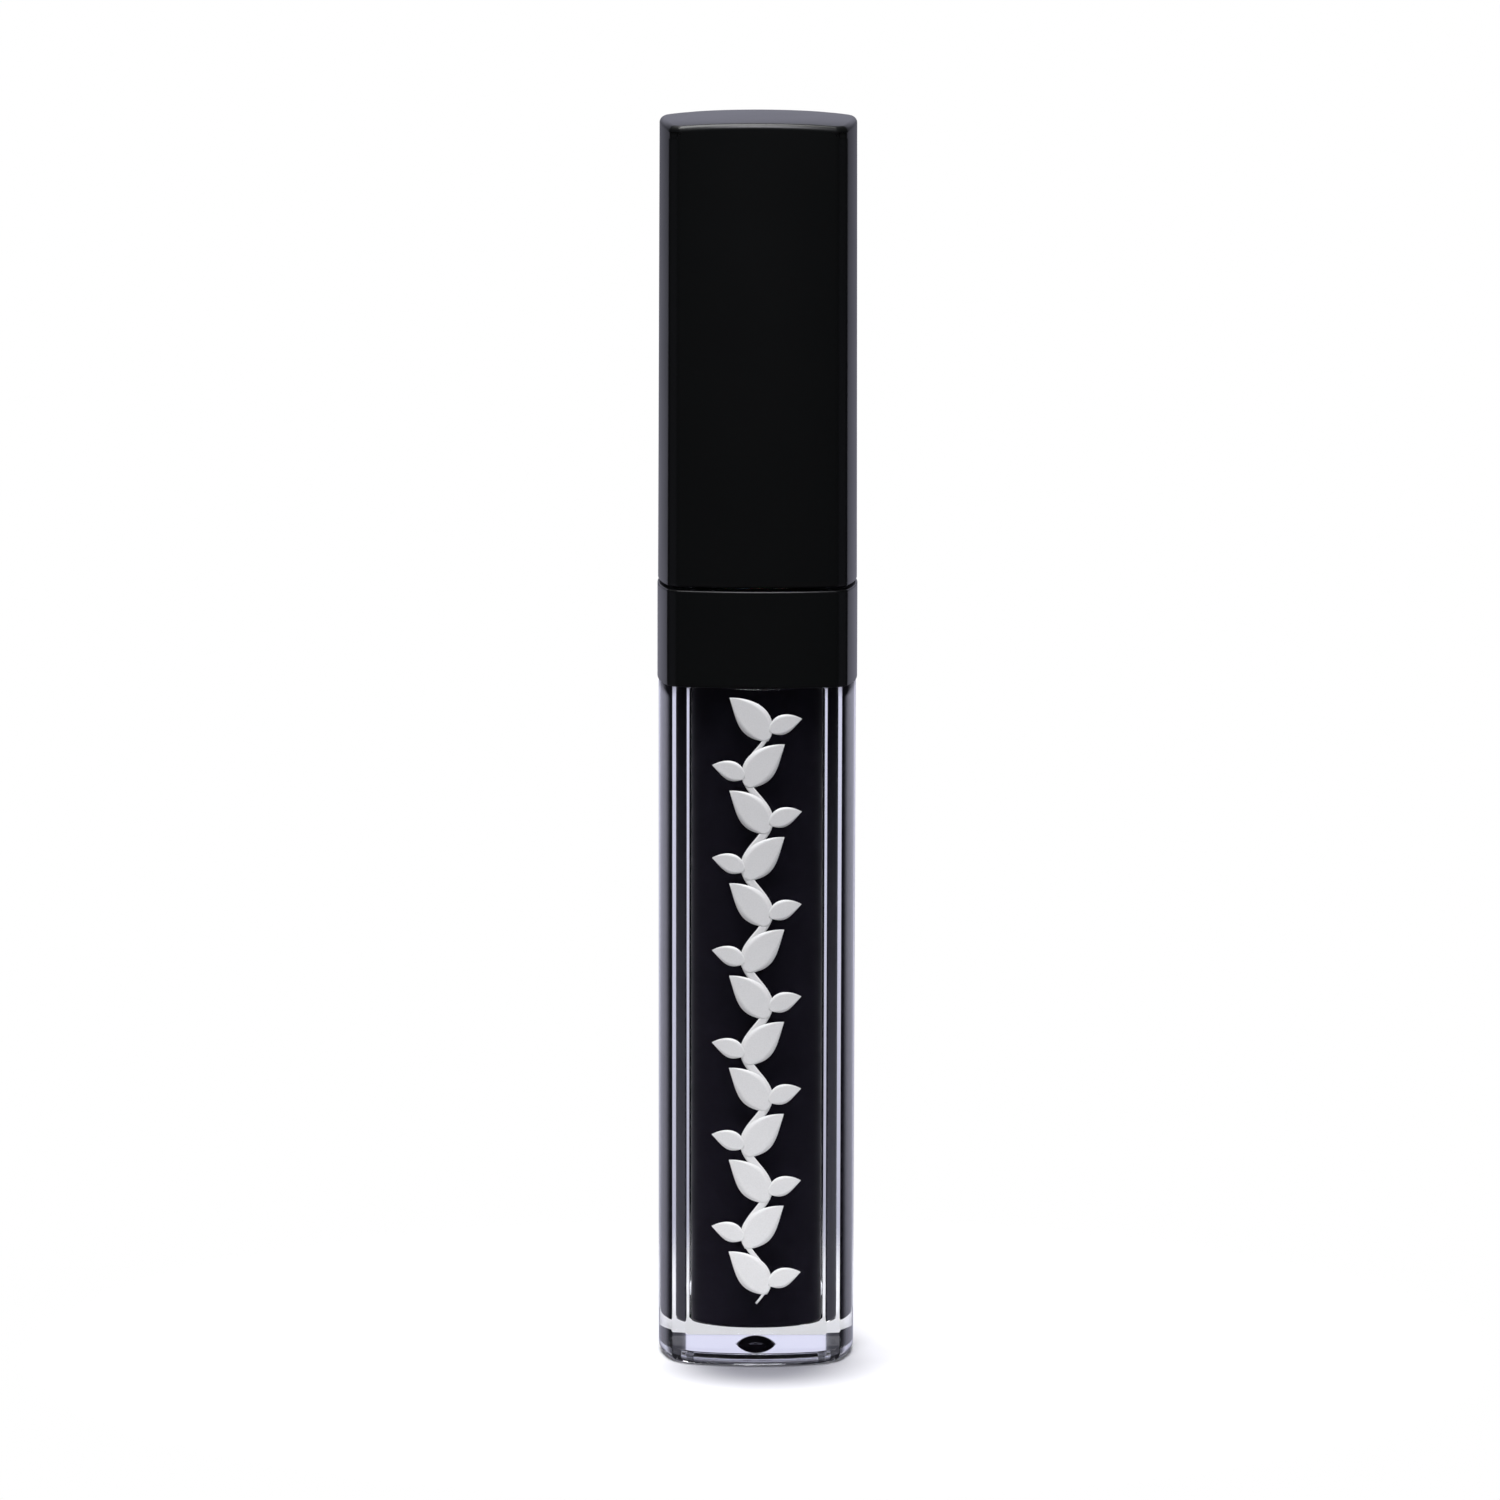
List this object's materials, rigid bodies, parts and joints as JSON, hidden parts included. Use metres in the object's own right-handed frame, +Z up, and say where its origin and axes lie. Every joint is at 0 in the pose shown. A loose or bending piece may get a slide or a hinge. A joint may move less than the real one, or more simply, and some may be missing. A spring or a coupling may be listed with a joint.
{
  "type": "lip gloss tube",
  "caption": "Slim upright lip gloss tube with a clear thick-walled soft-square bottle, a black shoulder collar and a tall satin black screw cap that carries a wand.",
  "frame": {"origin": "middle of the bottle's underside, in the plane of the ring that it stands on", "axes": "+Z up along the tube, from the bottle's base to the cap's top; +X and +Y towards the middles of two neighbouring faces"},
  "size_m": [0.0172, 0.0172, 0.1074],
  "materials": {
    "clear_bottle": "polished clear copolyester",
    "satin_black": "satin moulded",
    "natural_polyethylene": "natural milky moulded",
    "black_gloss": "thick glossy fluid",
    "black_polypropylene": "moulded",
    "seal_rubber": "matte",
    "elastomer": "soft moulded",
    "nylon_flock": "short flocked pile"
  },
  "bodies": {
    "bottle_side": {"bottle": "clear_bottle", "shoulder_collar": "satin_black", "wiper": "natural_polyethylene", "gloss_fill": "black_gloss"},
    "seal": {"seal_ring": "seal_rubber"},
    "wand": {"wand_rod": "black_polypropylene"},
    "cap_side": {"outer_cap": "satin_black", "inner_cap": "black_polypropylene", "applicator_core": "elastomer", "flocked_tip": "nylon_flock"}
  },
  "joints": [
    {"name": "cap_pull", "type": "slide", "parent": "bottle_side", "child": "seal", "axis": [0, 0, 1], "range_m": [0, 0.078]},
    {"name": "thread_rise", "type": "slide", "parent": "seal", "child": "wand", "axis": [0, 0, 1], "range_m": [0, 0.0032]},
    {"name": "cap_unscrew", "type": "hinge", "parent": "wand", "child": "cap_side", "pos_m": [0, 0, 0.08], "axis": [0, 0, 1], "range_deg": [0, 450]}
  ],
  "couplings": [
    {"joint": "thread_rise", "follows": "cap_unscrew", "m_per_rad": 0.00039789}
  ]
}
